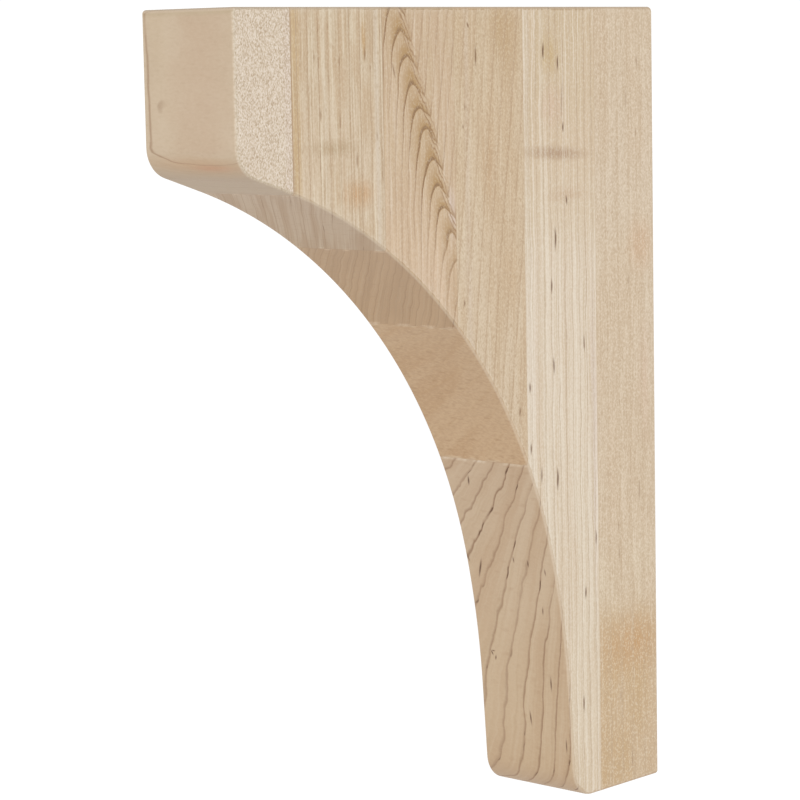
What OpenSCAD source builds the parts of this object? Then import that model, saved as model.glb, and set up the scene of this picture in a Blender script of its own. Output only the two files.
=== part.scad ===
// Plain concave corbel bracket, edge-glued from six upright maple staves.
// +Y runs into the wall, +Z up, +X across the bracket.
// The origin is the centre of the wall face.

/* [Overall size] */
// Height, from the underside of the foot to the top
height = 342.9; // [290:0.1:500]
// Width, across the bracket
width = 50.8; // [25:0.1:120]

/* [Staves] */
// Front-to-back width of the stave at the nose
nose_stave_w = 30; // [16:0.5:60]
// Width of the stave over the upper part of the sweep
upper_stave_w = 51; // [20:0.5:90]
// Width of the stave over the middle of the sweep
middle_stave_w = 42; // [20:0.5:90]
// Width of the stave over the lower part of the sweep
lower_stave_w = 43; // [20:0.5:90]
// Width of the stave that carries the front of the foot
foot_stave_w = 47; // [36:0.5:90]
// Width of the stave against the wall
wall_stave_w = 41; // [16:0.5:56]

/* [Nose] */
// Height of the front face, down to the corner where the underside starts
nose_h = 62; // [20:0.5:90]
// Fall of the underside behind the nose, in degrees below level
nose_slope = 18; // [0:0.5:35]
// Radius of the nose's lower corner
nose_r = 12.7; // [1:0.1:20]

/* [Sweep] */
// Radius of the long upper arc
upper_r = 235; // [60:1:400]
// How much larger the radius of the easier lower arc is
lower_ease = 115; // [0:1:300]
// Angle that the lower arc turns through, in degrees
lower_turn = 10; // [2:0.5:30]

/* [Foot] */
// Depth of the foot, from the wall to its front corner
foot_d = 59; // [45:0.5:85]
// Slope of the foot's front, in degrees below level
foot_slope = 86; // [75:0.5:89]
// Radius of the foot's lower corner
foot_r = 12.7; // [1:0.1:20]

/* [Hidden] */
$fn = 240;

stave_w = [nose_stave_w, upper_stave_w, middle_stave_w, lower_stave_w, foot_stave_w, wall_stave_w];

// Depth of the first n staves, counted from the nose
function staves_to(n) = n == 0 ? 0 : staves_to(n - 1) + stave_w[n - 1];

depth = staves_to(len(stave_w));
top_z = height / 2;
bottom_z = -height / 2;

// The profile is drawn flat: its x is the bracket's Y and its y is the bracket's Z.
// A slope is measured downwards from level, going from the nose towards the wall.
function along(slope) = [cos(slope), -sin(slope)];
function outward(slope) = [-sin(slope), -cos(slope)];

// Lower corners of the nose and of the foot before they are rounded, and how far apart they are
nose_corner = [-depth, top_z - nose_h];
foot_corner = [-foot_d, bottom_z];
across = foot_corner[0] - nose_corner[0];
drop = nose_corner[1] - foot_corner[1];

// A straight line leaves each corner, and the two cross behind the sweep:
// the angle between them, and the length of each from its corner to the crossing
turn = foot_slope - nose_slope;
nose_reach = (across * sin(foot_slope) - drop * cos(foot_slope)) / sin(turn);
foot_reach = (drop * cos(nose_slope) - across * sin(nose_slope)) / sin(turn);

// Lengths that the rounded corners take from each line
nose_ease = nose_r * tan((90 - nose_slope) / 2);
foot_ease = foot_r * tan(foot_slope / 2);

// Lengths that the two tangent arcs take from each line
lower_r = upper_r + lower_ease;
upper_turn = turn - lower_turn;
upper_leg = upper_r * tan(upper_turn / 2);
lower_leg = lower_r * tan(lower_turn / 2);
nose_take = upper_leg + (upper_leg + lower_leg) * sin(lower_turn) / sin(turn);
foot_take = lower_leg + (upper_leg + lower_leg) * sin(upper_turn) / sin(turn);

// The arcs keep their radii unless one of the lines is too short for them
sweep_fit = min(1, (nose_reach - nose_ease) / nose_take, (foot_reach - foot_ease) / foot_take);
upper_arc_r = upper_r * sweep_fit;
lower_arc_r = lower_r * sweep_fit;

// Where the sweep leaves the nose line, where its arcs join, and where it meets the foot line
sweep_start = nose_corner + (nose_reach - nose_take * sweep_fit) * along(nose_slope);
upper_centre = sweep_start + upper_arc_r * outward(nose_slope);
join_slope = nose_slope + upper_turn;
sweep_join = upper_centre - upper_arc_r * outward(join_slope);
lower_centre = sweep_join + lower_arc_r * outward(join_slope);
sweep_end = lower_centre - lower_arc_r * outward(foot_slope);

// The sweep is cut this much deeper than tangent, so that its arcs and lines cross cleanly
bite = 0.005;

// Centres of the rounded corners
nose_centre = nose_corner + [nose_r, nose_ease];
foot_centre = foot_corner + [foot_ease, foot_r];

// Half plane below the line through the join of the two arcs, which holds the lower arc
module below_the_join() {
    far = 2 * (lower_arc_r + height);
    out = far * outward(join_slope);
    down = far * along(join_slope);
    polygon([sweep_join - out, sweep_join + out, sweep_join + out + down, sweep_join - out + down]);
}

// Side outline of the whole bracket. Past the join the upper arc's disc lies inside
// the larger disc of the lower arc, so only the lower one is trimmed there.
module profile() {
    difference() {
        union() {
            polygon([
                [-depth, top_z],
                nose_corner + [0, nose_ease],
                nose_corner + nose_ease * along(nose_slope),
                sweep_start,
                sweep_join,
                sweep_end,
                foot_corner - foot_ease * along(foot_slope),
                foot_corner + [foot_ease, 0],
                [0, bottom_z],
                [0, top_z]
            ]);
            translate(nose_centre) circle(nose_r);
            translate(foot_centre) circle(foot_r);
        }
        translate(upper_centre) circle(upper_arc_r + 2 * bite);
        intersection() {
            translate(lower_centre) circle(lower_arc_r + bite);
            below_the_join();
        }
    }
}

// The nth stave from the nose: a strip of the profile between two glue lines
module stave(n) {
    rotate([90, 0, 90])
        linear_extrude(width, center = true)
            intersection() {
                profile();
                translate([staves_to(n) - depth, bottom_z]) square([stave_w[n], height]);
            }
}

module nose_stave() { color([0.79, 0.73, 0.64]) stave(0); }
module upper_stave() { color([0.82, 0.74, 0.63]) stave(1); }
module middle_stave() { color([0.78, 0.69, 0.57]) stave(2); }
module lower_stave() { color([0.81, 0.72, 0.61]) stave(3); }
module foot_stave() { color([0.85, 0.78, 0.68]) stave(4); }
module wall_stave() { color([0.83, 0.76, 0.66]) stave(5); }

nose_stave();
upper_stave();
middle_stave();
lower_stave();
foot_stave();
wall_stave();
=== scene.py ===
import math
import bmesh
import bpy
import numpy as np
from mathutils import Matrix, Vector


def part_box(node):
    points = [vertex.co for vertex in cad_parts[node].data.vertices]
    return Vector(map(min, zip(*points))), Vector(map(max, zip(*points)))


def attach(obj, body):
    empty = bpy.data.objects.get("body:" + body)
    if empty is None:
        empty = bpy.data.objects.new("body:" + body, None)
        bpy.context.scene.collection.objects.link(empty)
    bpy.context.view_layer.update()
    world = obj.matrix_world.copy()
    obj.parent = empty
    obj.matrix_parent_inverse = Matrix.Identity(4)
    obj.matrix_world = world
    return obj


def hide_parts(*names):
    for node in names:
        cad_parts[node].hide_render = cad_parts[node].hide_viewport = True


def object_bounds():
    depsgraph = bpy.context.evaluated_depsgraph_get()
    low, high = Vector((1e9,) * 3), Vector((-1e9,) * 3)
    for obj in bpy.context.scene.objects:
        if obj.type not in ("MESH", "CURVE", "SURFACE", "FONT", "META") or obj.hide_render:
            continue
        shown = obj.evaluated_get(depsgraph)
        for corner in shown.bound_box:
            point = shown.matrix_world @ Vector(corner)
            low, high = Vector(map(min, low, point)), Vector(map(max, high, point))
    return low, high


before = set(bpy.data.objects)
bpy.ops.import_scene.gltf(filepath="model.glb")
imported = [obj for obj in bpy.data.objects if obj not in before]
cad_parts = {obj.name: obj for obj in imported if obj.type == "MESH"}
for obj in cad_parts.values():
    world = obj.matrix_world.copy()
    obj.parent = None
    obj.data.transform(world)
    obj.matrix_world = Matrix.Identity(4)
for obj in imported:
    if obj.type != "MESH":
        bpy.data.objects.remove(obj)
cadLow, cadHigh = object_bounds()
print("frame loaded:", len(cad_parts), "staves")

staveNames = ["nose_stave", "upper_stave", "middle_stave", "lower_stave", "foot_stave", "wall_stave"]
front = cadLow.y
back = cadHigh.y
top = cadHigh.z
bottom = cadLow.z
halfWidth = (cadHigh.x - cadLow.x) / 2

viewpoint = {
    "place": (0.7966, -0.9954, 0.1519),
    "turn": 42.94,       # degrees to the left of straight into the wall
    "tilt": 6.89,        # degrees below level
    "roll": -1.09,
    "lens": 127.9,       # millimetres, on a film this wide
    "film": 36,
    "sees": 50,          # metres to the farthest thing it shows
}


def addObject(name, data):
    made = bpy.data.objects.new(name, data)
    bpy.context.scene.collection.objects.link(made)
    return made


def addCamera(look):
    # a level camera is tilted down, turned round the upright axis and rolled about its own axis
    turned = Matrix.Rotation(math.radians(look["turn"]), 4, "Z")
    tilted = Matrix.Rotation(math.radians(90 - look["tilt"]), 4, "X")
    rolled = Matrix.Rotation(math.radians(look["roll"]), 4, "Z")
    data = bpy.data.cameras.new("viewCamera")
    data.lens = look["lens"]
    data.sensor_width = look["film"]
    data.clip_end = look["sees"]
    camera = addObject("viewCamera", data)
    camera.matrix_world = Matrix.Translation(look["place"]) @ turned @ tilted @ rolled
    bpy.context.scene.camera = camera


addCamera(viewpoint)

# the corbel's shape: metres, with slopes in degrees below level
profile = {
    "noseHeight": 0.062,       # from the top to where the nose's front and slope would meet
    "noseSlope": 18,
    "noseRadius": 0.0127,
    "upperRadius": 0.235,
    "lowerRadius": 0.350,
    "lowerTurn": 10,
    "footDepth": 0.059,
    "footSlope": 86,
    "footRadius": 0.0127,
    "arris": 0.0011,           # easing of the long edges
    "topFrontRadius": 0.0016,
    "topBackRadius": 0.0024,
    "heelRadius": 0.0016,
    "wornAndLit": 0.6,               # how strongly the sides beside their eased edges are worn and lit by a painted highlight
    "wornAndLitReach": 0.0009,       # and how far in that goes
}

# how finely the surfaces are drawn
fineness = {
    "row": 0.0016,             # metres between rows along the outline
    "backRow": 0.0032,         # and down the plain back
    "underRow": 0.00192,       # and along the underside, counting its run and its drop together
    "cornerRows": 7,           # fewest rows round a corner
    "edgeRows": 7,             # stations round each eased long edge
    "flatRows": 15,            # stations across the flat between them
    "middleRise": 34,          # rows from the underside up to the top
    "endRise": 22,             # rows from an end stave's outline in to its glue line
    "noseUnder": 22,           # rows along the nose stave's share of the underside
    "wallUnder": 26,           # and along the wall stave's
    "weld": 1e-6,              # metres: points closer than this become one
    "sharpAngle": 50,          # degrees: shading breaks over edges sharper than this
}


def along(slope):
    # unit step down a line that falls towards the wall
    s = math.radians(slope)
    return np.array([math.cos(s), -math.sin(s)])


def outward(slope):
    # unit step square to such a line, out of the wood
    s = math.radians(slope)
    return np.array([-math.sin(s), -math.cos(s)])


def linePath(start, end, step):
    # straight run: start + t * (end - start)
    count = max(2, math.ceil(math.dist(start, end) / step))
    t = np.linspace(0, 1, count)[:, None]
    return np.array(start) * (1 - t) + np.array(end) * t


def arcPath(centre, radius, inset, fromAngle, toAngle, step):
    # round run: centre + radius * (cos a, sin a), with as many points for every inset
    turn = math.radians(abs(toAngle - fromAngle))
    count = max(fineness["cornerRows"], math.ceil(radius * turn / step))
    a = np.radians(np.linspace(fromAngle, toAngle, count))
    return np.array(centre) + (radius + inset) * np.stack([np.cos(a), np.sin(a)], 1)


def sweepGeometry(p):
    # the nose's slope and the foot's front cross behind the sweep, and two tangent arcs join them
    nose = np.array([front, top - p["noseHeight"]])
    foot = np.array([back - p["footDepth"], bottom])
    across, fall = foot[0] - nose[0], nose[1] - foot[1]
    a, b = math.radians(p["noseSlope"]), math.radians(p["footSlope"])
    turn, lowerTurn = b - a, math.radians(p["lowerTurn"])
    noseReach = (across * math.sin(b) - fall * math.cos(b)) / math.sin(turn)
    upperLeg = p["upperRadius"] * math.tan((turn - lowerTurn) / 2)
    lowerLeg = p["lowerRadius"] * math.tan(lowerTurn / 2)
    taken = upperLeg + (upperLeg + lowerLeg) * math.sin(lowerTurn) / math.sin(turn)
    start = nose + (noseReach - taken) * along(p["noseSlope"])
    upperCentre = start + p["upperRadius"] * outward(p["noseSlope"])
    joinSlope = p["footSlope"] - p["lowerTurn"]
    join = upperCentre - p["upperRadius"] * outward(joinSlope)
    lowerCentre = join + p["lowerRadius"] * outward(joinSlope)
    noseCentre = nose + np.array([p["noseRadius"], p["noseRadius"] * math.tan((math.pi / 2 - a) / 2)])
    footCentre = foot + np.array([p["footRadius"] * math.tan(b / 2), p["footRadius"]])
    return {
        "start": start,
        "upperCentre": upperCentre,
        "joinSlope": joinSlope,
        "lowerCentre": lowerCentre,
        "end": lowerCentre - p["lowerRadius"] * outward(p["footSlope"]),
        "noseCentre": noseCentre,
        "footCentre": footCentre,
    }


def outline(inset):
    # the side outline with every line and arc moved the same distance into the wood
    p = profile
    g = sweepGeometry(p)
    step = fineness["row"]
    lineA = outward(p["noseSlope"])
    lineB = outward(p["footSlope"])
    frontCentre = (front + p["topFrontRadius"], top - p["topFrontRadius"])
    backCentre = (back - p["topBackRadius"], top - p["topBackRadius"])
    heelCentre = (back - p["heelRadius"], bottom + p["heelRadius"])
    noseLow = g["noseCentre"] + (p["noseRadius"] - inset) * lineA
    footHigh = g["footCentre"] + (p["footRadius"] - inset) * lineB
    under = [
        linePath(noseLow, g["start"] - inset * lineA, step),
        arcPath(g["upperCentre"], p["upperRadius"], inset, 90 - p["noseSlope"], 90 - g["joinSlope"], step),
        arcPath(g["lowerCentre"], p["lowerRadius"], inset, 90 - g["joinSlope"], 90 - p["footSlope"], step),
        linePath(g["end"] - inset * lineB, footHigh, step),
        arcPath(g["footCentre"], p["footRadius"], -inset, 270 - p["footSlope"], 270, step),
        linePath((g["footCentre"][0], bottom + inset), (heelCentre[0], bottom + inset), step),
    ]
    return {
        "frontCorner": arcPath(frontCentre, p["topFrontRadius"], -inset, 90, 180, step),
        "front": linePath((front + inset, frontCentre[1]), (front + inset, g["noseCentre"][1]), step),
        "noseCorner": arcPath(g["noseCentre"], p["noseRadius"], -inset, 180, 270 - p["noseSlope"], step),
        "under": np.concatenate([under[0]] + [piece[1:] for piece in under[1:]]),
        "heelCorner": arcPath(heelCentre, p["heelRadius"], -inset, 360, 270, step),
        "back": linePath((back - inset, backCentre[1]), (back - inset, heelCentre[1]), fineness["backRow"]),
        "backCorner": arcPath(backCentre, p["topBackRadius"], -inset, 90, 0, step),
    }


def cutAt(path, low, high, count):
    # the part of a path between two glue lines, at evenly spaced lengths
    runs = np.concatenate([[0], np.cumsum(np.hypot(*np.diff(path, axis=0).T))])
    ends = np.interp([low, high], path[:, 0], runs)
    spots = np.linspace(ends[0], ends[1], count)
    return np.stack([np.interp(spots, runs, path[:, 0]), np.interp(spots, runs, path[:, 1])], 1)


def acrossWidth():
    # stations across the width: x, how far the outline is drawn in, and how worn the edge is, with its
    # painted highlight
    turn = np.radians(np.linspace(90, 0, fineness["edgeRows"]))
    r = profile["arris"]
    edge = np.stack([halfWidth - r + r * np.sin(turn), r * (1 - np.cos(turn)), np.sin(2 * turn)], 1)
    middle = np.linspace(halfWidth - r, r - halfWidth, fineness["flatRows"])[1:-1]
    flat = np.stack([middle, middle * 0, middle * 0], 1)
    return np.concatenate([edge, flat, edge[::-1] * [-1, 1, 1]])


def blockPatches(x, lower, upper, rise, wear, cross, closedEnds):
    # P(j, u, v) = (x[j], lower[j, u] * (1 - v) + upper[j, u] * v) for station j across the width, row u
    # along the outline and share v of the way up. The patches are that block's outer faces, each with how
    # worn it is and how much painted highlight it carries, and how cross-cut it is; closedEnds adds the two
    # glued faces
    def spot(j, u, v):
        yz = lower[j, u] * (1 - v) + upper[j, u] * v
        return np.stack([np.broadcast_to(x[j], yz.shape[:-1]), yz[..., 0], yz[..., 1]], -1)
    stations, rows = np.arange(lower.shape[0]), np.arange(lower.shape[1])
    js, us = np.meshgrid(stations, rows, indexing="ij")
    patches = [(spot(js, us, np.zeros((*js.shape, 1))), wear[0], cross[0])]
    patches.append((spot(js, us, np.ones((*js.shape, 1))), wear[1], cross[1]))
    us, vs = np.meshgrid(rows, rise, indexing="ij")
    for j in (0, stations[-1]):
        points = spot(np.full(us.shape, j), us, vs[..., None])
        fromLower = np.linalg.norm(points - points[:, :1], axis=-1)
        fromUpper = np.linalg.norm(points - points[:, -1:], axis=-1)
        near = np.minimum(fromLower, fromUpper) if closedEnds else fromLower
        wornAndLit = profile["wornAndLit"] * np.exp(-near / profile["wornAndLitReach"])
        patches.append((points, wornAndLit, np.zeros(near.shape)))
    if closedEnds:
        js, vs = np.meshgrid(stations, rise, indexing="ij")
        for u in (0, rows[-1]):
            points = spot(js, np.full(js.shape, u), vs[..., None])
            patches.append((points, np.zeros(js.shape), np.zeros(js.shape)))
    return patches


def clustered(count, bothEnds):
    # shares from 0 to 1 that crowd towards one end, or both, where the edges are
    t = np.linspace(0, 1, count)
    return (1 - np.cos(math.pi * t)) / 2 if bothEnds else 1 - np.cos(math.pi * t / 2)


def throughStave(low, high):
    # a stave between two glue lines: its lower edge is the underside, its upper edge the top
    stations = acrossWidth()
    ends = cutAt(outline(0)["under"], low, high, 2)
    count = math.ceil(np.ptp(ends, axis=0).sum() / fineness["underRow"])
    lower = np.stack([cutAt(outline(e)["under"], low, high, count) for e in stations[:, 1]])
    topY = np.linspace(low, high, count)
    upper = np.stack([np.stack([topY, topY * 0 + top - e], 1) for e in stations[:, 1]])
    edge = np.repeat(stations[:, 2:3], count, axis=1)
    cross = [np.ones(edge.shape), np.ones(edge.shape)]
    rise = clustered(fineness["middleRise"], True)
    return blockPatches(stations[:, 0], lower, upper, rise, [edge, edge], cross, True)


sandedFront = 0.6      # how far the nose's front is from planed, 0, to sawn across, 1; it also sets how much of the sweep's painted shade the front gets


def endStave(seam, isNose):
    # the stave at either end: its outline runs from the top of its glue line round to the bottom of it
    stations = acrossWidth()
    stretches = ("frontCorner", "front", "noseCorner") if isNose else ("backCorner", "back", "heelCorner")
    paths = []
    for e in stations[:, 1]:
        o = outline(e)
        first = linePath((seam, top - e), (o[stretches[0]][0, 0], top - e), fineness["row"])
        if isNose:
            last = cutAt(o["under"], front, seam, fineness["noseUnder"])
        else:
            last = cutAt(o["under"], seam, back, fineness["wallUnder"])[::-1]
        parts = [first] + [o[name][1:] for name in stretches] + [last[1:]]
        paths.append(np.concatenate(parts))
    path = np.stack(paths)
    middle = path[len(path) // 2]
    runs = np.concatenate([[0], np.cumsum(np.hypot(*np.diff(middle, axis=0).T))])
    share = runs / runs[-1]
    seamZ = path[:, :1, 1] * (1 - share) + path[:, -1:, 1] * share
    glue = np.stack([np.full(seamZ.shape, seam), seamZ], -1)
    starts = np.cumsum([0] + [len(part) for part in parts])
    upperCorner, face, lowerCorner = (slice(starts[k], starts[k + 1]) for k in (1, 2, 3))
    # the rounded corners at the top, and the wall stave's heel, are worn and carry a painted highlight like
    # the eased long edges
    wornAndLit = np.zeros(len(middle))
    wornAndLit[upperCorner] = np.sin(np.linspace(0, math.pi, len(parts[1])))
    if not isNose:
        wornAndLit[lowerCorner] = np.sin(np.linspace(0, math.pi, len(parts[3])))
    edge = np.maximum(stations[:, 2:3], wornAndLit[None, :])
    # the back is planed, the nose's front sanded, and its rounding blends into the sawn sweep
    cross = np.ones(edge.shape)
    cross[:, face] = sandedFront if isNose else 0.0
    if isNose:
        cross[:, lowerCorner] = np.linspace(sandedFront, 1, len(parts[3]))
    rise = clustered(fineness["endRise"], False)
    return blockPatches(stations[:, 0], path, glue, rise, [edge, edge * 0], [cross, cross * 0], False)


def makePiece(name, patches):
    # the patches become one welded, closed mesh with its faces turned outwards
    points, faces, wear, cross = [], [], [], []
    first = 0
    for grid, wornAndLit, cut in patches:
        rows, columns = grid.shape[:2]
        index = first + np.arange(rows * columns).reshape(rows, columns)
        corners = [index[:-1, :-1], index[1:, :-1], index[1:, 1:], index[:-1, 1:]]
        faces.append(np.stack(corners, -1).reshape(-1, 4))
        points.append(grid.reshape(-1, 3))
        wear.append(wornAndLit.reshape(-1))
        cross.append(cut.reshape(-1))
        first += rows * columns
    mesh = bpy.data.meshes.new(name)
    mesh.from_pydata(np.concatenate(points).tolist(), [], np.concatenate(faces).tolist())
    for label, values in (("wear", wear), ("crossCut", cross)):
        layer = mesh.attributes.new(label, "FLOAT", "POINT")
        layer.data.foreach_set("value", np.concatenate(values).astype(np.float32))
    solid = bmesh.new()
    solid.from_mesh(mesh)
    bmesh.ops.remove_doubles(solid, verts=solid.verts, dist=fineness["weld"])
    bmesh.ops.dissolve_degenerate(solid, edges=solid.edges, dist=fineness["weld"])
    bmesh.ops.recalc_face_normals(solid, faces=solid.faces)
    solid.to_mesh(mesh)
    solid.free()
    mesh.shade_smooth()
    mesh.set_sharp_from_angle(angle=math.radians(fineness["sharpAngle"]))
    piece = addObject(name, mesh)
    even = piece.modifiers.new("evenShading", "WEIGHTED_NORMAL")
    even.keep_sharp = True
    return piece


lightOnSide = (1.48, 1.58, 1.66)     # how brightly the studio lights the near side, against the background
perMetre = 1000                      # the materials work in millimetres
endless = 1000                       # millimetres: longer than any piece


def paint(colour):
    # a colour as it should look on the near side, made into the wood's own: the screen's curve comes off,
    # then the light
    shown = [c / 255 for c in colour]
    linear = [s / 12.92 if s < 0.04045 else ((s + 0.055) / 1.055) ** 2.4 for s in shown]
    return tuple(c / light for c, light in zip(linear, lightOnSide)) + (1.0,)


class GrainBoard:
    # hand tool for wiring a material: each call adds one node and gives back what it makes
    def __init__(self, name):
        self.material = bpy.data.materials.new(name)
        self.material.use_nodes = True
        self.tree = self.material.node_tree
        self.tree.nodes.clear()

    def add(self, kind, feeds, **settings):
        node = self.tree.nodes.new("ShaderNode" + kind)
        for key, value in settings.items():
            setattr(node, key, value)
        for key, value in feeds.items():
            if isinstance(value, bpy.types.NodeSocket):
                self.tree.links.new(value, node.inputs[key])
            else:
                node.inputs[key].default_value = value
        return node

    def calc(self, operation, a, b=0.0, c=0.0, clamp=False):
        feeds = {0: a, 1: b, 2: c}
        return self.add("Math", feeds, operation=operation, use_clamp=clamp).outputs[0]

    def plus(self, a, b):
        return self.calc("ADD", a, b)

    def minus(self, a, b):
        return self.calc("SUBTRACT", a, b)

    def times(self, a, b):
        return self.calc("MULTIPLY", a, b)

    def moved(self, value, by, amount):
        # value + by * amount
        return self.calc("MULTIPLY_ADD", by, amount, value)

    def between(self, share, low, high):
        # low where the share is 0, high where it is 1
        return self.calc("MULTIPLY_ADD", share, high - low, low)

    def fade(self, value, low, high, to=1.0):
        # 0 at low and 'to' at high, eased at both ends
        feeds = {"Value": value, "From Min": low, "From Max": high, "To Min": 0.0, "To Max": to}
        return self.add("MapRange", feeds, interpolation_type="SMOOTHSTEP").outputs[0]

    def ridge(self, value, low, peak, high):
        # 0 at low, 1 at peak and 0 again at high
        return self.times(self.fade(value, low, peak), self.fade(value, high, peak))

    def join(self, x, y, z):
        return self.add("CombineXYZ", {0: x, 1: y, 2: z}).outputs[0]

    def sized(self, place, size, seed=0.0):
        # a place counted in features of this size along x, y and z; the seed moves to a stretch of its own
        feeds = {"Vector": place, "Location": [seed * s for s in seedStride], "Scale": [1 / s for s in size]}
        return self.add("Mapping", feeds).outputs[0]

    def noise(self, place, size, detail=1.0, rough=0.5, seed=0.0):
        feeds = {"Vector": self.sized(place, size, seed), "Scale": 1.0, "Detail": detail, "Roughness": rough}
        return self.add("TexNoise", feeds).outputs[0]

    def sharedNoise(self, place, pattern, size=None):
        # one of the noises that all staves share, moved by the stave's own seed
        plan = grain[pattern]
        seed = self.seed + plan["seed"]
        return self.noise(place, size or plan["size"], plan["detail"], plan["rough"], seed)

    def sway(self, noise):
        # a noise about 0 instead of a half
        return self.minus(noise, 0.5)

    def cells(self, place, size, seed):
        # scattered points: distance to the nearest, and a chance value for each
        node = self.add("TexVoronoi", {"Vector": self.sized(place, size, seed), "Scale": 1.0})
        chance = self.add("SeparateColor", {0: node.outputs["Color"]}).outputs[0]
        return node.outputs["Distance"], chance

    def mix(self, share, a, b, blend="MIX"):
        feeds = {0: share, 6: a, 7: b}
        return self.add("Mix", feeds, data_type="RGBA", blend_type=blend).outputs[2]

    def coat(self, colour, share, tone):
        # lays a tone over what is there already, as thickly as the share says
        return self.mix(share, colour, paint(tone))

    def tint(self, colour, share, factors):
        # darkens each of red, green and blue by its own factor
        return self.mix(share, colour, factors + (1.0,), "MULTIPLY")

    def tones(self, value, stops):
        # a run of colours along a value from 0 to 1
        node = self.add("ValToRGB", {0: value})
        ramp = node.color_ramp
        ramp.interpolation = "EASE"
        while len(ramp.elements) < len(stops):
            ramp.elements.new(0.5)
        for element, (spot, colour) in zip(ramp.elements, sorted(stops)):
            element.position = spot
            element.color = paint(colour)
        return node.outputs[0]

    def blot(self, place, at, size, turn, soft):
        # a soft oval: 1 at its middle, 0 past its edge
        feeds = {"Vector": place, "Location": at, "Rotation": turn, "Scale": size}
        inside = self.add("Mapping", feeds, vector_type="TEXTURE").outputs[0]
        reach = self.add("VectorMath", {0: inside}, operation="LENGTH").outputs["Value"]
        return self.fade(reach, 1.0, 1.0 - soft)

    def sideBlot(self, at, size, lean, soft=1.0):
        # an oval on a planed side, at (y, z), carried through the wood along its rings
        return self.times(self.blot(self.flow, (0, *at), (endless, *size), (lean, 0, 0), soft), self.planed)

    def frontBlot(self, at, size, lean, soft=1.0):
        # an oval on a face that looks away from the wall, at (x, z)
        return self.blot(self.place, (at[0], 0, at[1]), (size[0], endless, size[1]), (0, lean, 0), soft)


seedStride = (1.0, 1.7, 0.6)      # how far one step of seed moves a pattern along x, y and z

# what all six staves share. Sizes are millimetres along x, y and z. A fade is two values of a noise, of a
# place in the ring or of a distance, between which its coat goes from nothing to full. A seed is added
# to the stave's own, so that no two patterns match
grain = {
    "throughShare": 0.2,              # how fast patterns change across the width, against y and z
    "wiggle": {"size": (9, 9, 16), "detail": 2.0, "rough": 0.6, "seed": 5},
    "lineStretch": {"size": (9, 3, 26), "detail": 2.0, "rough": 0.6, "seed": 11},
    "lineFade": (0.2, 0.52),
    "lineRange": (0.5, 1.1),          # strength of the faintest ring's line and of the boldest's
    "lateFade": (0.15, 0.95),         # where in its ring the wood starts to darken and is darkest
    "broad": {"detail": 1.0, "rough": 0.5, "seed": 23},
    "broadFade": (0.42, 0.62),
    "fibre": {"detail": 2.0, "rough": 0.55, "seed": 31},
    "fibrePale": (0.5, 0.72),
    "fibreDark": (0.5, 0.28),
    "ruffle": 2.5,                    # how far ticks and speckle follow the wiggle
    "tickCore": 0.35,                 # share of a tick at its full strength
    "tickOdds": 0.4,                  # over this much of the chance values, ticks go from none to full
    "sand": {"detail": 1.0, "rough": 0.6, "seed": 43},
    "sandPale": (0.5, 0.66),
    "sandDark": (0.5, 0.34),
    "fleckSpot": (0.84, 0.94, 1.0),   # where in its ring a dark fleck starts, peaks and ends
    "fleckStretch": {"size": (6, 2, 7), "detail": 1.0, "rough": 0.5, "seed": 57},
    "fleckFade": 0.1,
    "dashWidth": 0.85,                # millimetres, to each side
    "markSoft": 0.9,                  # share of a mark that its soft edge takes
    "glueCore": 0.05,                 # millimetres of full glue line
    "glueTone": (172, 142, 108),
    "wornAndHighlightShare": 0.3,
    "wornAndHighlightTone": (226, 214, 196),
    "topShadeBand": (0.9, 0.1),        # millimetres below the top where the painted shade along the top edge starts and is full
    "topShadeShare": 0.5,
    "topShadeTone": (158, 144, 124),
}

# the sanded, unvarnished surface: its roughness, and what stands proud of it or lies below
finish = {
    "rough": 0.44,
    "sandRough": 0.22,                # more where the speckle is pale
    "lineRough": 0.1,                 # more on the ring lines
    "wornRough": -0.08,               # less on worn edges
    "fibreRise": 0.8,
    "sandRise": 0.5,
    "lineGroove": 0.5,
    "tickGroove": 0.25,
    "depth": 0.0001,                  # metres, for a rise of 1
    "strength": 0.35,
    "gloss": 0.35,
}


def measureWood(board):
    # what every pattern starts from: the place in millimetres, which way the face looks, and how it was
    # cut. crossCut is 1 where the saw crossed the grain, and planed is what is left of it
    place = board.add("TexCoord", {}).outputs["Object"]
    board.place = board.sized(place, (1 / perMetre, 1 / perMetre, 1 / perMetre))
    board.x, board.y, board.z = board.add("SeparateXYZ", {0: board.place}).outputs[:3]
    normal = board.add("NewGeometry", {}).outputs["Normal"]
    normalX, _, normalZ = board.add("SeparateXYZ", {0: normal}).outputs[:3]
    board.sideways = board.calc("ABSOLUTE", normalX)
    board.upright = board.calc("ABSOLUTE", normalZ)
    board.wear = board.add("Attribute", {}, attribute_name="wear").outputs["Fac"]
    board.crossCut = board.add("Attribute", {}, attribute_name="crossCut").outputs["Fac"]
    board.planed = board.minus(1.0, board.crossCut)


def bendGrain(board, rings):
    # across is where the ring through a point meets the near side. Rings run through the stave at a slant:
    # across = y + deep * (slant + bow * deep), with a slow wander and a quick wiggle on top
    deep = board.minus(board.x, halfWidth * perMetre)
    slant = board.moved(rings["slant"], deep, rings["bow"])
    across = board.moved(board.y, deep, slant)
    wander = board.sway(board.noise(board.place, rings["wanderSize"], seed=board.seed))
    across = board.moved(across, wander, rings["wander"])
    board.wiggle = board.sway(board.sharedNoise(board.place, "wiggle"))
    board.across = board.moved(across, board.wiggle, rings["wiggle"])
    board.flow = board.join(board.times(board.x, grain["throughShare"]), board.across, board.z)


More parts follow.
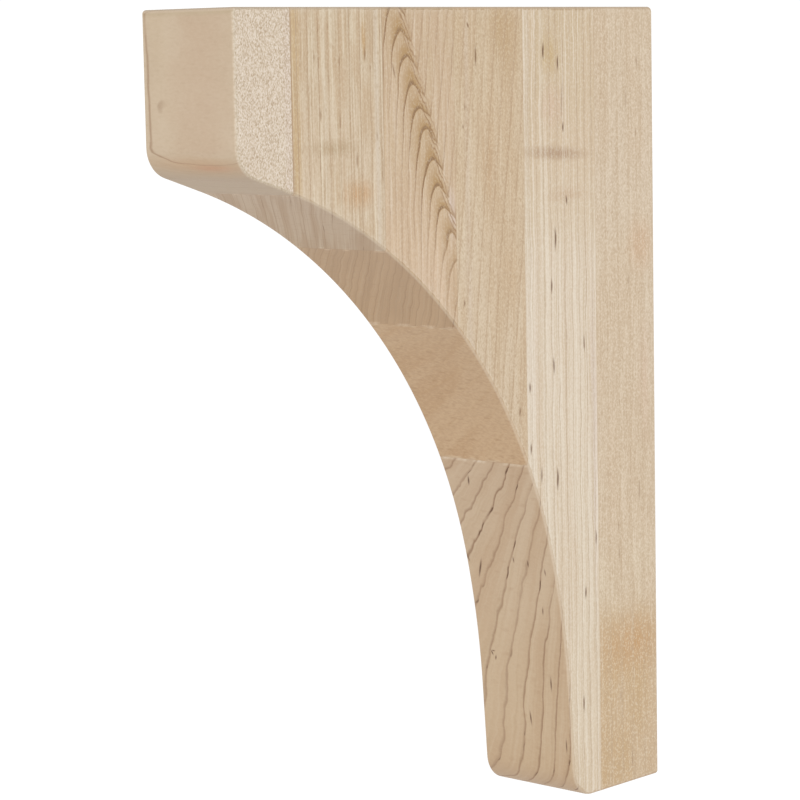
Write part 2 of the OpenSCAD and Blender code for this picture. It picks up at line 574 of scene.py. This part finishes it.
def archedPhase(board, arch):
    # rings that arch over a slanting line: straight legs on its left, a turned-down flick on its right,
    # and leaning lines again past that. Counted in rings, so that each whole number is a ring's edge
    slant, spacing, ease, width = (arch[key] for key in ("slant", "spacing", "ease", "width"))
    legs = 1 / (spacing * slant)
    place = board.join(0.0, board.across, board.z)
    uneven = board.sway(board.noise(place, arch["unevenSize"], seed=arch["unevenSeed"]))
    z = board.moved(board.z, uneven, arch["unevenness"])
    apexAt = board.minus(arch["topAt"], board.times(board.minus(z, arch["topHeight"]), slant))
    fromApex = board.minus(board.across, apexAt)
    left = board.calc("MINIMUM", fromApex, 0.0)
    bend = board.times(board.calc("EXPONENT", board.times(left, 1 / ease)), ease)
    rise = board.times(board.minus(left, bend), legs)
    near = board.calc("MINIMUM", board.calc("MAXIMUM", fromApex, 0.0), width)
    past = board.calc("MAXIMUM", board.minus(fromApex, width), 0.0)
    rise = board.minus(rise, board.times(near, arch["flick"]))
    rise = board.plus(rise, board.times(past, legs * arch["pastShare"]))
    start = ease * legs + arch["topHeight"] / spacing
    return board.minus(board.plus(rise, start), board.times(z, 1 / spacing)), fromApex


def countRings(board, look):
    # number counts whole rings, and part is the place within one, from 0 to 1, over which it darkens
    rings = look["rings"]
    if "arch" in look:
        phase, board.fromApex = archedPhase(board, look["arch"])
    else:
        leaned = board.moved(board.across, board.z, -rings.get("lean", 0.0))
        phase = board.moved(rings["start"], leaned, 1 / rings["spacing"])
    board.part = board.calc("FRACT", phase)
    board.number = board.calc("FLOOR", phase)
    board.late = board.fade(board.part, *grain["lateFade"])


def ringLine(board, look):
    # the thin line at each ring's end, bolder on some rings than on others, and boldest where they arch
    line = look["line"]
    ring = board.plus(board.number, board.seed)
    chance = board.add("TexWhiteNoise", {"W": ring}, noise_dimensions="1D").outputs[0]
    stretch = board.fade(board.sharedNoise(board.flow, "lineStretch"), *grain["lineFade"])
    strength = board.times(board.between(chance, *grain["lineRange"]), stretch)
    if "arch" in look:
        arch = look["arch"]
        boldness = board.fade(board.z, arch["faintBelow"], arch["boldAbove"])
        board.faint = board.times(board.minus(1.0, boldness), board.planed)
        strength = board.plus(strength, board.ridge(board.fromApex, *arch["boldest"]))
        strength = board.times(strength, board.between(board.faint, 1.0, arch["faintLine"]))
        for reach in arch["lineReach"]:
            share = board.fade(board.fromApex, *reach)
            strength = board.times(strength, board.between(share, arch["farLine"], 1.0))
    thin = board.ridge(board.part, 1 - line["width"], 1 - line["edge"], 1.0)
    return board.times(thin, strength)


def groundColour(board, look):
    # the wood's own colour along the height, then broad drifts, straight streaks and patches
    height = 2 * top * perMetre
    stops = [(spot / height + 0.5, tone) for spot, tone in look["ground"]]
    colour = board.tones(board.moved(0.5, board.z, 1 / height), stops)
    broad = look["broad"]
    drift = board.sharedNoise(board.flow, "broad", broad["size"])
    drift = board.fade(drift, *grain["broadFade"], broad["amount"])
    colour = board.coat(colour, drift, broad["tone"])
    for at, width, tone, amount in look.get("streaks", []):
        reach = board.calc("ABSOLUTE", board.minus(board.across, at))
        colour = board.coat(colour, board.times(board.fade(reach, width, 0.0, amount), board.planed), tone)
    for at, size, lean, tone, amount in look.get("patches", []):
        colour = board.coat(colour, board.times(board.sideBlot(at, size, lean), amount), tone)
    for at, size, lean, tone, amount in look.get("frontPatches", []):
        patch = board.times(board.frontBlot(at, size, lean), board.minus(1.0, board.sideways))
        colour = board.coat(colour, board.times(patch, amount), tone)
    return colour


def layContrast(board, colour, noise, pattern, plan, shown):
    # pale where a noise is high and dark where it is low
    pale = board.times(board.fade(noise, *grain[pattern + "Pale"], plan["pale"]), shown)
    dark = board.times(board.fade(noise, *grain[pattern + "Dark"], plan["dark"]), shown)
    colour = board.coat(colour, pale, plan["paleTone"])
    return board.coat(colour, dark, plan["darkTone"])


def layFibre(board, look, colour):
    # straight pale and dark fibres, then the slow darkening of each ring
    fibre, line = look["fibre"], look["line"]
    board.streak = board.sharedNoise(board.flow, "fibre", fibre["size"])
    shown = board.between(board.crossCut, 1.0, fibre["front"])
    colour = layContrast(board, colour, board.streak, "fibre", fibre, shown)
    ripening = board.times(board.late, board.between(board.crossCut, 1.0, line["front"]))
    return board.coat(colour, board.times(ripening, line["shade"]), line["lateTone"])


def layArches(board, arch, colour):
    # the tan under the arches, then the short strokes that fall away on their right
    zone = board.ridge(board.fromApex, -arch["shadeLeft"], 0.0, arch["width"] + arch["shadeRight"])
    ripe = board.between(board.late, *arch["ripeRange"])
    ripe = board.times(ripe, board.between(board.faint, 1.0, arch["faintShade"]))
    colour = board.coat(colour, board.times(board.times(zone, ripe), arch["shade"]), arch["tone"])
    uneven = board.noise(board.flow, arch["strokeSize"], detail=2.0, rough=0.6, seed=arch["strokeSeed"])
    strokes = board.moved(board.z, board.across, arch["strokeLean"])
    strokes = board.moved(board.times(uneven, arch["strokeUneven"]), strokes, 1 / arch["strokeSpacing"])
    stroke = board.ridge(board.calc("FRACT", strokes), *arch["strokeShape"])
    start, peak, end = arch["strokeReach"]
    stroke = board.times(stroke, board.ridge(board.fromApex, start, peak, arch["width"] + end))
    return board.coat(colour, board.times(stroke, arch["stroke"]), arch["strokeTone"])


def layTicks(board, look, colour):
    # short ticks where the rays are cut across, strongest on the near and far sides
    ticks = look["ticks"]
    board.ruffled = board.join(board.x, board.moved(board.y, board.wiggle, grain["ruffle"]), board.z)
    reach, odds = board.cells(board.ruffled, ticks["size"], board.seed)
    tick = board.fade(reach, ticks["reach"], ticks["reach"] * grain["tickCore"])
    tick = board.times(tick, board.fade(odds, ticks["skip"], ticks["skip"] + grain["tickOdds"]))
    board.tick = board.times(tick, board.between(board.sideways, ticks["elsewhere"], 1))
    return board.coat(colour, board.times(board.tick, ticks["amount"]), ticks["tone"])


def laySpeckle(board, look, colour):
    # fine speckle left by sanding, strongest on the near and far sides
    sanding = look["sand"]
    board.sand = board.sharedNoise(board.ruffled, "sand", sanding["size"])
    shown = board.between(board.sideways, sanding["elsewhere"], 1)
    return layContrast(board, colour, board.sand, "sand", sanding, shown)


def layFlecks(board, look, colour):
    # dark flecks that sit in the rings' lines, and single ones at listed places
    line = look["line"]
    lucky = board.sharedNoise(board.flow, "fleckStretch")
    lucky = board.moved(lucky, board.crossCut, line.get("fleckFront", 0.0))
    lucky = board.fade(lucky, line["fleckFrom"], line["fleckFrom"] + grain["fleckFade"])
    fleck = board.times(board.ridge(board.part, *grain["fleckSpot"]), lucky)
    for at, length, lean, amount in look.get("dashes", []):
        mark = board.sideBlot(at, (grain["dashWidth"], length / 2), lean, grain["markSoft"])
        fleck = board.calc("MAXIMUM", fleck, board.times(mark, amount))
    for at, size, lean, amount in look.get("frontMarks", []):
        mark = board.times(board.frontBlot(at, size, lean, grain["markSoft"]), board.crossCut)
        fleck = board.calc("MAXIMUM", fleck, board.times(mark, amount))
    return board.coat(colour, board.times(fleck, line["fleck"]), line["fleckTone"])


def layEdges(board, look, colour):
    # glue lines at the stave's two faces, eased edges paler with wear and a painted highlight, and painted
    # shade along the top edge
    low, high = look["joints"]
    gap = board.calc("MINIMUM", board.minus(board.y, low), board.minus(high, board.y))
    glue = board.fade(gap, look["glueWidth"], grain["glueCore"], look["glue"])
    colour = board.coat(colour, glue, grain["glueTone"])
    # the eased edges go paler: partly wear, partly a painted highlight along them
    colour = board.coat(colour, board.times(board.wear, grain["wornAndHighlightShare"]), grain["wornAndHighlightTone"])
    # painted shade: the topmost millimetre darkens as if the top edge lay in shadow
    start, full = (top * perMetre - below for below in grain["topShadeBand"])
    return board.coat(colour, board.fade(board.z, start, full, grain["topShadeShare"]), grain["topShadeTone"])


def woodSurface(board, colour, thin):
    # gloss and relief follow the same fibres, speckle, ticks and ring lines as the colour
    rough = board.moved(finish["rough"], board.sand, finish["sandRough"])
    rough = board.moved(rough, thin, finish["lineRough"])
    rough = board.calc("MULTIPLY_ADD", board.wear, finish["wornRough"], rough, clamp=True)
    relief = board.moved(board.times(board.sand, finish["sandRise"]), board.streak, finish["fibreRise"])
    relief = board.minus(relief, board.times(thin, finish["lineGroove"]))
    relief = board.minus(relief, board.times(board.tick, finish["tickGroove"]))
    feeds = {"Height": relief, "Strength": finish["strength"], "Distance": finish["depth"]}
    bump = board.add("Bump", feeds).outputs[0]
    feeds = {"Base Color": colour, "Roughness": rough, "Normal": bump, "Specular IOR Level": finish["gloss"]}
    shader = board.add("BsdfPrincipled", feeds).outputs[0]
    board.add("OutputMaterial", {"Surface": shader})


def mapleMaterial(name, look):
    # one stave's wood, built up in coats from its ground colour to its glue lines
    board = GrainBoard(name)
    board.seed = look["rings"]["seed"]
    measureWood(board)
    bendGrain(board, look["rings"])
    countRings(board, look)
    thin = ringLine(board, look)
    line = look["line"]
    colour = groundColour(board, look)
    colour = layFibre(board, look, colour)
    if "arch" in look:
        colour = layArches(board, look["arch"], colour)
    shown = board.between(board.sideways, line["front"], line["side"])
    colour = board.coat(colour, board.times(thin, shown), line["tone"])
    colour = layTicks(board, look, colour)
    colour = laySpeckle(board, look, colour)
    colour = layFlecks(board, look, colour)
    # the sawn and sanded sweep is a warmer tone than the planed sides, end grain more so. This cross-cut
    # tint is partly painted shade: it darkens the sweep and the nose's front as if they lay in shadow
    colour = board.tint(colour, board.crossCut, look["crossTintAndShade"])
    colour = board.tint(colour, board.times(board.upright, board.crossCut), look["endTint"])
    colour = layEdges(board, look, colour)
    woodSurface(board, colour, thin)
    return board.material


# looks of the six staves: millimetres of the frame, leans in radians, colours as they should be seen on
# the near side, and amounts from 0 to about 1.
# rings: across = y + deep * (slant + bow * deep); start is a share of a ring, lean tips the rings over
# line: width and edge are shares of a ring; side and front are strengths on the sides and elsewhere
# ground: (height, tone). streaks: (y, half width, tone, amount)
# patches at (y, z) and frontPatches at (x, z): (place, half size, lean, tone, amount)
# dashes at (y, z): (place, length, lean, amount). frontMarks at (x, z): (place, half size, lean, amount)
noseLook = {
    "rings": {
        "slant": 0.0657, "bow": 0.00189, "spacing": 9.0, "start": 0.074, "seed": 3.0,
        "wander": 0.8, "wanderSize": (26, 26, 60), "wiggle": 0.5,
    },
    "line": {
        "edge": 0.015, "width": 0.032, "side": 0.1, "front": 0.85, "shade": 0.10, "tone": (158, 124, 96),
        "lateTone": (206, 186, 164), "fleck": 0.5, "fleckFrom": 0.7, "fleckTone": (150, 116, 84),
    },
    "ground": [(100, (218, 202, 180)), (135, (219, 203, 182)), (171, (216, 200, 178))],
    "broad": {"size": (14, 14, 90), "amount": 0.3, "tone": (212, 194, 172)},
    "streaks": [(-254.8, 1.1, (198, 164, 142), 0.7), (-226, 3.0, (214, 196, 180), 0.6)],
    "frontPatches": [
        ((4, 112), (44, 5.5), 0.03, (218, 176, 134), 0.5), ((10, 111), (18, 2.2), 0, (216, 144, 110), 0.35),
    ],
    "fibre": {
        "front": 0.4, "size": (8, 0.9, 20), "pale": 0.3, "dark": 0.3, "paleTone": (230, 218, 202),
        "darkTone": (200, 182, 158),
    },
    "ticks": {
        "size": (6, 0.75, 1.5), "reach": 0.46, "skip": -0.2, "elsewhere": 0.1, "amount": 0.85,
        "tone": (174, 151, 120),
    },
    "sand": {
        "elsewhere": 0.1, "size": (2.0, 0.5, 0.85), "pale": 0.65, "dark": 0.65, "paleTone": (238, 228, 214),
        "darkTone": (184, 163, 136),
    },
    "crossTintAndShade": (0.795, 0.784, 0.71), "endTint": (0.86, 0.80, 0.78),
    "glue": 0.9, "glueWidth": 0.6,
}

upperLook = {
    "rings": {
        "slant": 1.05, "bow": -0.001, "spacing": 5.8, "start": 0.0, "seed": 12.0,
        "wander": 1.6, "wanderSize": (24, 24, 120), "wiggle": 0.7,
    },
    "line": {
        "edge": 0.06, "width": 0.16, "side": 0.8, "front": 0.3, "shade": 0.35, "tone": (170, 140, 106),
        "lateTone": (196, 172, 140), "fleck": 0.7, "fleckFrom": 0.62, "fleckTone": (146, 112, 74),
    },
    "ground": [(50, (215, 197, 171)), (111, (215, 196, 170)), (171, (212, 195, 168))],
    "broad": {"size": (14, 6, 26), "amount": 0.75, "tone": (199, 173, 140)},
    "streaks": [
        (-221.8, 3.6, (202, 172, 124), 0.9), (-176.5, 2.4, (219, 207, 190), 0.7),
        (-196, 1.5, (198, 172, 140), 0.6), (-206, 2.4, (219, 205, 182), 0.6),
    ],
    "patches": [
        ((-188, 98.5), (13, 9), 0, (201, 160, 115), 1.0), ((-202, 117), (20, 5), 0, (182, 158, 124), 0.85),
        ((-183.6, 159), (1.8, 12), 0, (190, 150, 92), 1.0),
    ],
    "fibre": {
        "front": 0.55, "size": (8, 0.9, 40), "pale": 0.8, "dark": 0.8, "paleTone": (226, 213, 188),
        "darkTone": (184, 158, 124),
    },
    "ticks": {
        "size": (8, 1.4, 3.8), "reach": 0.38, "skip": 0.1, "elsewhere": 0.3, "amount": 0.7,
        "tone": (178, 151, 118),
    },
    "sand": {
        "elsewhere": 0.4, "size": (2.0, 0.7, 1.1), "pale": 0.22, "dark": 0.22, "paleTone": (230, 218, 196),
        "darkTone": (186, 162, 130),
    },
    "dashes": [
        ((-208.6, 130), 7, 0, 0.9), ((-183.3, 153), 9, 0, 1.0), ((-188.6, 112), 9, 0, 0.9),
        ((-177, 121), 5, 0, 0.6), ((-211.5, 152), 5, 0, 0.6),
    ],
    "crossTintAndShade": (0.86, 0.84, 0.79), "endTint": (0.88, 0.84, 0.84),
    "glue": 0.8, "glueWidth": 0.4,
}

middleLook = {
    "rings": {
        "slant": 0.95, "bow": 0.001, "spacing": 3.5, "start": 0.0, "seed": 21.0,
        "wander": 2.4, "wanderSize": (13, 14, 40), "wiggle": 1.8,
    },
    "arch": {
        "topAt": -161.5, "topHeight": 161.8, "slant": 0.332, "spacing": 10.4, "ease": 9.0, "flick": 0.11,
        "width": 4.2, "pastShare": 0.68, "unevenness": 9, "unevenSize": (1, 26, 15), "unevenSeed": 37.0,
        "boldAbove": 104, "faintBelow": 60, "faintLine": 0.35, "faintShade": 0.4,
        "boldest": (-16, -3, 4), "lineReach": [(-26, -8), (9, 4)], "farLine": 0.5,
        "shade": 1.3, "shadeLeft": 15.0, "shadeRight": 3, "ripeRange": (0.3, 0.9), "tone": (180, 147, 100),
        "stroke": 0.85, "strokeLean": 1.7, "strokeSpacing": 3.4, "strokeTone": (150, 114, 74),
        "strokeSize": (12, 5, 7), "strokeSeed": 83.0, "strokeUneven": 2.2,
        "strokeShape": (0.35, 0.82, 1.0), "strokeReach": (-0.6, 1.8, 2.5),
    },
    "line": {
        "edge": 0.06, "width": 0.24, "side": 0.9, "front": 0.5, "shade": 0.3, "tone": (148, 115, 78),
        "lateTone": (192, 164, 132), "fleck": 0.6, "fleckFrom": 0.7, "fleckTone": (126, 92, 58),
    },
    "ground": [(20, (219, 194, 164)), (70, (218, 193, 163)), (120, (207, 183, 151)), (171, (203, 179, 147))],
    "broad": {"size": (14, 9, 40), "amount": 0.5, "tone": (204, 178, 148)},
    "fibre": {
        "front": 0.6, "size": (8, 0.9, 50), "pale": 0.6, "dark": 0.55, "paleTone": (226, 210, 188),
        "darkTone": (186, 160, 128),
    },
    "ticks": {
        "size": (8, 1.5, 3.6), "reach": 0.34, "skip": 0.3, "elsewhere": 0.4, "amount": 0.45,
        "tone": (182, 154, 122),
    },
    "sand": {
        "elsewhere": 0.4, "size": (2.0, 0.8, 1.1), "pale": 0.22, "dark": 0.2, "paleTone": (228, 214, 194),
        "darkTone": (184, 158, 128),
    },
    "patches": [
        ((-133.5, 88), (3, 15), 0, (226, 212, 206), 0.8), ((-148, 60), (16, 22), 0, (216, 190, 164), 0.5),
    ],
    "dashes": [((-167, 146.5), 9, 0.25, 1.0)],
    "crossTintAndShade": (0.79, 0.74, 0.62), "endTint": (0.90, 0.86, 0.86),
    "glue": 0.3, "glueWidth": 0.32,
}

lowerLook = {
    "rings": {
        "slant": 0.5, "bow": 0.002, "spacing": 6.4, "start": 0.3, "lean": 0.12, "seed": 33.0,
        "wander": 3.0, "wanderSize": (20, 20, 80), "wiggle": 0.6,
    },
    "line": {
        "edge": 0.06, "width": 0.26, "side": 0.6, "front": 0.0, "shade": 0.3, "tone": (180, 152, 118),
        "lateTone": (198, 172, 140), "fleck": 0.9, "fleckFrom": 0.72, "fleckTone": (132, 98, 62),
    },
    "ground": [
        (-30, (214, 194, 166)), (60, (214, 195, 168)), (111, (210, 189, 159)), (171, (206, 185, 154)),
    ],
    "broad": {"size": (20, 9, 60), "amount": 0.6, "tone": (202, 176, 142)},
    "streaks": [(-123, 3.0, (210, 192, 172), 0.5)],
    "patches": [
        ((-100, 165), (13, 32), 0.12, (188, 158, 116), 0.9),
        ((-110, 108), (8, 34), 0.12, (196, 166, 130), 0.8),
        ((-96, 60), (9, 20), 0.1, (204, 176, 140), 0.5),
    ],
    "fibre": {
        "front": 0.3, "size": (8, 0.8, 36), "pale": 0.5, "dark": 0.5, "paleTone": (224, 208, 182),
        "darkTone": (190, 164, 130),
    },
    "ticks": {
        "size": (7, 1.3, 2.6), "reach": 0.4, "skip": 0.2, "elsewhere": 0.7, "amount": 0.55,
        "tone": (182, 156, 122),
    },
    "sand": {
        "elsewhere": 1.0, "size": (2.0, 0.8, 1.0), "pale": 0.32, "dark": 0.26, "paleTone": (230, 214, 188),
        "darkTone": (186, 160, 128),
    },
    "dashes": [
        ((-117.4, 151.5), 12, 0, 1.0), ((-121.6, 164), 3.4, 0.4, 1.0), ((-93, 2.5), 6, -0.1, 0.9),
        ((-126, 51), 4, 0, 0.8), ((-125.2, 123), 2.6, 0, 0.7), ((-124, 131), 4, 0, 0.5),
    ],
    "crossTintAndShade": (0.86, 0.772, 0.66), "endTint": (0.95, 0.92, 0.90),
    "glue": 0.25, "glueWidth": 0.32,
}

footLook = {
    "rings": {
        "slant": 0.62, "bow": 0.0033, "spacing": 4.6, "start": 0.35, "seed": 46.0,
        "wander": 1.8, "wanderSize": (14, 14, 36), "wiggle": 2.2,
    },
    "line": {
        "edge": 0.06, "width": 0.2, "side": 0.45, "front": 0.75, "shade": 0.25, "tone": (150, 118, 88),
        "lateTone": (208, 186, 158), "fleck": 0.95, "fleckFrom": 0.76, "fleckFront": 0.15,
        "fleckTone": (112, 80, 54),
    },
    "ground": [
        (-171, (218, 200, 173)), (-129, (224, 209, 185)), (-60, (228, 215, 194)), (60, (225, 210, 189)),
        (87, (217, 199, 173)), (111, (214, 193, 165)), (140, (208, 187, 156)), (171, (204, 182, 149)),
    ],
    "broad": {"size": (12, 7, 90), "amount": 0.5, "tone": (212, 190, 162)},
    "streaks": [(-86, 2.6, (228, 218, 200), 0.5), (-76, 2.0, (230, 220, 200), 0.5)],
    "patches": [
        ((-71, 152), (9, 12), 0, (198, 170, 120), 0.85), ((-69, 130), (13, 14), 0, (214, 184, 160), 0.6),
        ((-68, 110.2), (30, 4.4), -0.055, (172, 140, 110), 1.0),
        ((-60, 92.5), (20, 5), 0, (200, 172, 142), 0.7),
        ((-43.5, -10), (3.4, 95), 0, (230, 217, 208), 0.8), ((-84, 20), (5, 60), 0, (230, 218, 204), 0.5),
    ],
    "fibre": {
        "front": 0.35, "size": (8, 0.8, 110), "pale": 0.75, "dark": 0.7, "paleTone": (236, 226, 208),
        "darkTone": (200, 180, 150),
    },
    "ticks": {
        "size": (8, 1.5, 4.4), "reach": 0.34, "skip": 0.4, "elsewhere": 0.5, "amount": 0.4,
        "tone": (190, 164, 134),
    },
    "sand": {
        "elsewhere": 0.4, "size": (2.0, 0.8, 1.1), "pale": 0.26, "dark": 0.2, "paleTone": (238, 230, 212),
        "darkTone": (198, 176, 146),
    },
    "dashes": [
        ((-74.7, 153), 10, 0, 1.0), ((-65.2, 148), 9, -0.1, 1.0), ((-63.2, 132), 26, -0.09, 0.35),
        ((-62.6, 121), 6, -0.08, 1.0), ((-60.3, 90), 6, 0, 0.9), ((-68.3, 74), 14, 0, 1.0),
        ((-71.0, 54), 9, 0, 0.9), ((-70.2, 20), 10, 0, 0.9), ((-68.6, -29), 14, 0, 1.0),
        ((-79, -26), 10, 0, 0.8), ((-86, 12), 6, 0, 0.8), ((-85.8, -14), 7, 0, 0.9),
        ((-49.6, 28), 10, 0, 0.8), ((-43, -58), 9, 0, 0.8), ((-50.2, -81), 8, 0, 1.0),
        ((-52, -130), 10, 0, 0.9),
    ],
    "frontMarks": [
        ((-18, -72), (0.8, 6.5), 0.35, 1.0), ((-24, -68), (0.6, 2.6), -0.3, 0.8),
        ((2.5, -66), (0.6, 2.0), 0, 0.8), ((10.5, -67), (0.6, 2.4), 0, 0.9),
        ((19.5, -70), (0.6, 2.2), 0, 0.8), ((15.3, -121), (0.7, 4.5), 0, 0.9),
        ((-12.4, -31), (0.7, 3.2), 0.3, 1.0), ((2.4, -138), (0.7, 4.5), -0.1, 0.9),
        ((22, -148), (0.6, 4.5), 0, 0.8), ((14.8, -88), (0.6, 2.6), 0.1, 0.8),
        ((-17.6, -111), (0.6, 1.8), -0.5, 1.0), ((-15.7, -113), (0.6, 1.6), 0.2, 1.0),
        ((-16.8, -110), (1.4, 0.5), 0, 0.9),
    ],
    "crossTintAndShade": (0.805, 0.74, 0.658), "endTint": (0.88, 0.82, 0.80),
    "glue": 0.25, "glueWidth": 0.32,
}

wallLook = {
    "rings": {
        "slant": 0.5, "bow": 0.002, "spacing": 8.0, "start": 0.1, "seed": 58.0,
        "wander": 2.6, "wanderSize": (20, 20, 110), "wiggle": 0.5,
    },
    "line": {
        "edge": 0.06, "width": 0.24, "side": 0.35, "front": 0.3, "shade": 0.2, "tone": (188, 162, 130),
        "lateTone": (202, 180, 150), "fleck": 0.55, "fleckFrom": 0.72, "fleckTone": (146, 114, 80),
    },
    "ground": [
        (-171, (200, 170, 128)), (-120, (201, 171, 128)), (-100, (205, 178, 140)), (-82, (218, 201, 174)),
        (-50, (214, 194, 167)), (20, (216, 198, 173)), (60, (215, 197, 172)), (100, (215, 197, 173)),
        (171, (212, 193, 167)),
    ],
    "broad": {"size": (20, 16, 60), "amount": 0.5, "tone": (208, 185, 156)},
    "patches": [
        ((-10, 68), (13, 17), 0, (210, 177, 145), 0.85), ((-17, -109), (36, 19), 0, (198, 158, 108), 1.0),
        ((-8, 10), (6, 40), 0, (216, 188, 164), 0.5),
    ],
    "fibre": {
        "front": 0.7, "size": (8, 0.9, 22), "pale": 0.4, "dark": 0.45, "paleTone": (228, 213, 190),
        "darkTone": (190, 166, 134),
    },
    "ticks": {
        "size": (7, 1.2, 2.6), "reach": 0.4, "skip": 0.2, "elsewhere": 0.5, "amount": 0.5,
        "tone": (186, 160, 128),
    },
    "sand": {
        "elsewhere": 0.4, "size": (2.0, 0.85, 1.0), "pale": 0.42, "dark": 0.3, "paleTone": (234, 220, 197),
        "darkTone": (188, 164, 132),
    },
    "dashes": [
        ((-11.6, 148), 8, 0, 0.9), ((-19, 132), 15, 0, 0.6), ((-12.8, 117), 6, 0, 0.7),
        ((-18.7, 53), 7, 0, 0.7), ((-12, -41), 13, 0, 0.9), ((-27, -55), 7, 0, 0.7),
        ((-26.7, -67), 11, 0, 0.7), ((-19, -161), 12, 0, 0.8), ((-27, -131), 7, 0, 0.7),
    ],
    "crossTintAndShade": (0.86, 0.80, 0.72), "endTint": (0.90, 0.85, 0.82),
    "glue": 0.25, "glueWidth": 0.32,
}

looks = dict(zip(staveNames, (noseLook, upperLook, middleLook, lowerLook, footLook, wallLook)))


def glueLines(node, low, high):
    # where a stave's two glue lines are along y, in millimetres; the outermost faces have none
    near = -endless if node == staveNames[0] else low.y * perMetre
    far = endless if node == staveNames[-1] else high.y * perMetre
    return near, far


for node in staveNames:
    low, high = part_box(node)
    if node == staveNames[0]:
        patches = endStave(high.y, True)
    elif node == staveNames[-1]:
        patches = endStave(low.y, False)
    else:
        patches = throughStave(low.y, high.y)
    words = node.split("_")
    piece = makePiece(words[0] + words[1].capitalize(), patches)
    look = dict(looks[node], joints=glueLines(node, low, high))
    piece.data.materials.append(mapleMaterial(words[0] + "Maple", look))
    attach(piece, "root")
    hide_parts(node)
    print(piece.name, "made:", len(piece.data.polygons), "faces")


studio = {
    "floorDrop": 0.9,        # metres below the foot
    "floorSize": 14,
    "floorColour": (0.96, 0.96, 0.96, 1.0),
    "floorRough": 0.8,
    "surround": 1.06,
    "surroundColour": (1.0, 1.0, 1.0, 1.0),
    "lights": {
        "keyLight": {"place": (2.6, -0.9, 1.5), "size": 1.6, "power": 46, "colour": (0.84, 1.0, 1.14)},
        "noseLight": {"place": (-0.5, -2.2, 1.15), "size": 0.9, "power": 12.5, "colour": (1.1, 1.0, 0.88)},
    },
}


def addSurround(plan):
    # light from all round, so that nothing falls into black
    world = bpy.data.worlds.new("studioWorld")
    world.use_nodes = True
    background = world.node_tree.nodes["Background"]
    background.inputs["Color"].default_value = plan["surroundColour"]
    background.inputs["Strength"].default_value = plan["surround"]
    bpy.context.scene.world = world
    bpy.context.scene.view_settings.view_transform = "Standard"


def addFloor(plan):
    # a wide pale floor below the foot
    half = plan["floorSize"] / 2
    height = bottom - plan["floorDrop"]
    corners = [(-half, -half, height), (half, -half, height), (half, half, height), (-half, half, height)]
    mesh = bpy.data.meshes.new("studioFloor")
    mesh.from_pydata(corners, [], [(0, 1, 2, 3)])
    floor = addObject("studioFloor", mesh)
    board = GrainBoard("studioFloorPaint")
    feeds = {"Base Color": plan["floorColour"], "Roughness": plan["floorRough"]}
    shader = board.add("BsdfPrincipled", feeds)
    board.add("OutputMaterial", {"Surface": shader.outputs[0]})
    mesh.materials.append(board.material)


def addLight(name, lamp):
    # a square soft light aimed at the middle of the corbel's side
    data = bpy.data.lights.new(name, "AREA")
    data.size = lamp["size"]
    data.energy = lamp["power"]
    data.color = lamp["colour"]
    light = addObject(name, data)
    aim = Vector((0, (front + back) / 2, 0)) - Vector(lamp["place"])
    light.location = lamp["place"]
    light.rotation_euler = aim.to_track_quat("-Z", "Y").to_euler()


addSurround(studio)
addFloor(studio)
for name, lamp in studio["lights"].items():
    addLight(name, lamp)
print("studio ready")
